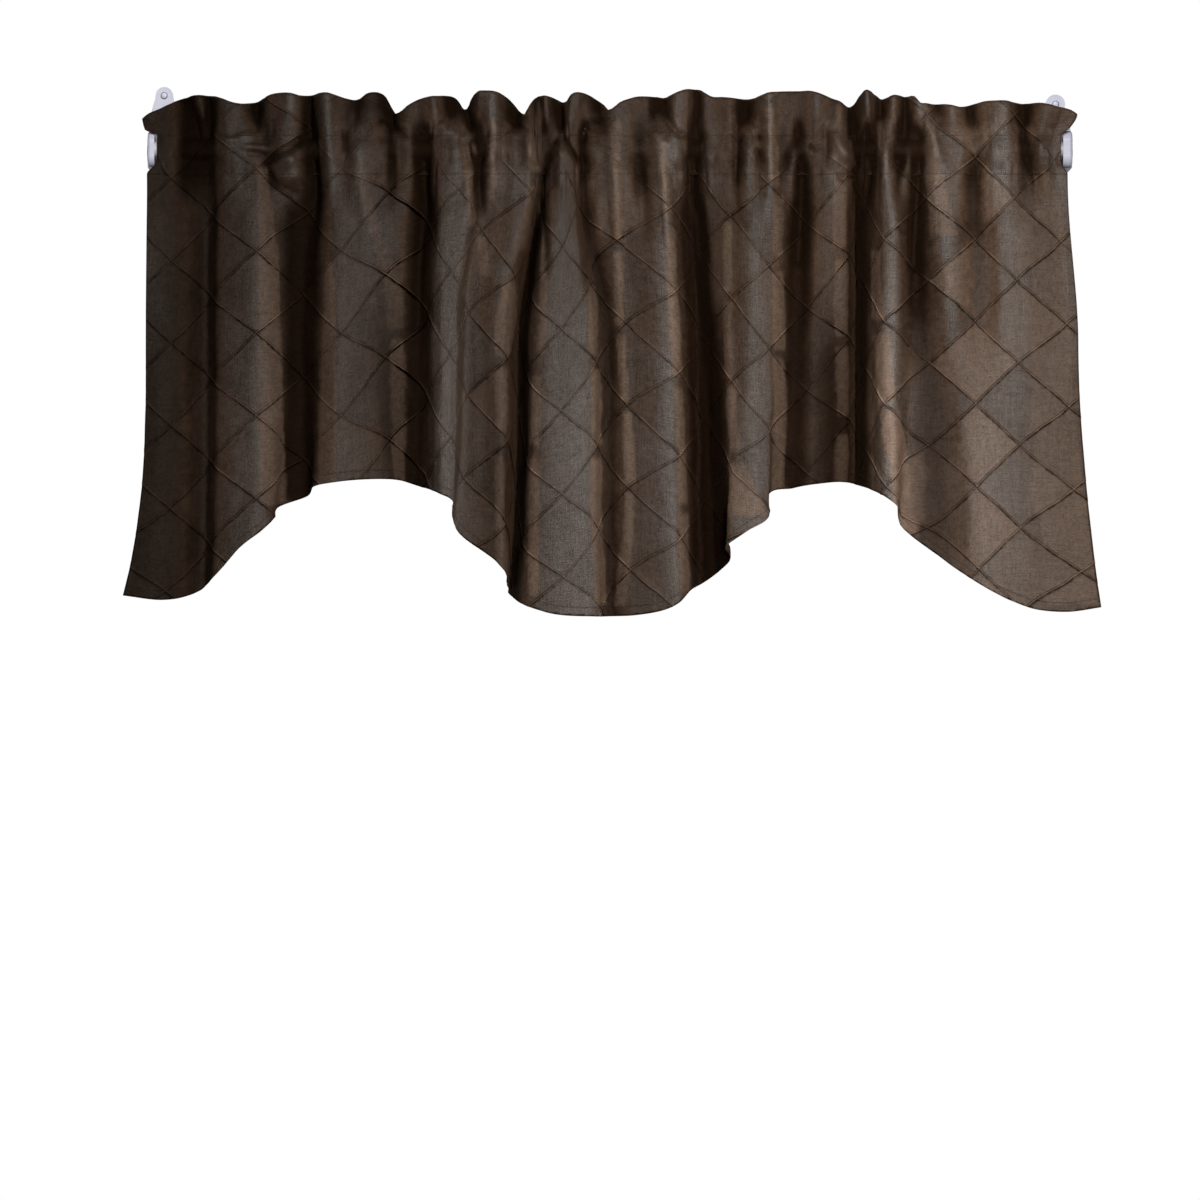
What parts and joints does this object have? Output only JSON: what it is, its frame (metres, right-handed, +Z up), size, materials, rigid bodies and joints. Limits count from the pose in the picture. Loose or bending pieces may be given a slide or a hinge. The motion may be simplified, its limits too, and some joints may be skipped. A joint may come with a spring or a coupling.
{
  "type": "window valance on curtain rod",
  "caption": "Scalloped window valance in dark brown taffeta with diamond pintucks, shirred on a round curtain rod between two pale wall brackets.",
  "frame": {"origin": "on the wall plane at the rod's height, at mid-span between the two brackets", "axes": "+X along the rod to the right of someone facing the valance, +Y into the wall, +Z up"},
  "size_m": [0.9779, 0.0966, 0.5353],
  "materials": {
    "cloth": "dark grey-brown taffeta with a copper sheen, stitched in a diamond lattice of pintucks",
    "rod": "white enamelled tube",
    "bracket": "pale lavender-white moulded plastic",
    "screw": "zinc-plated"
  },
  "bodies": {
    "root": {"valance_cloth": "cloth", "rod": "rod", "bracket_left": "bracket", "bracket_right": "bracket", "screw_left_upper": "screw", "screw_left_lower": "screw", "screw_right_upper": "screw", "screw_right_lower": "screw"}
  },
  "joints": []
}
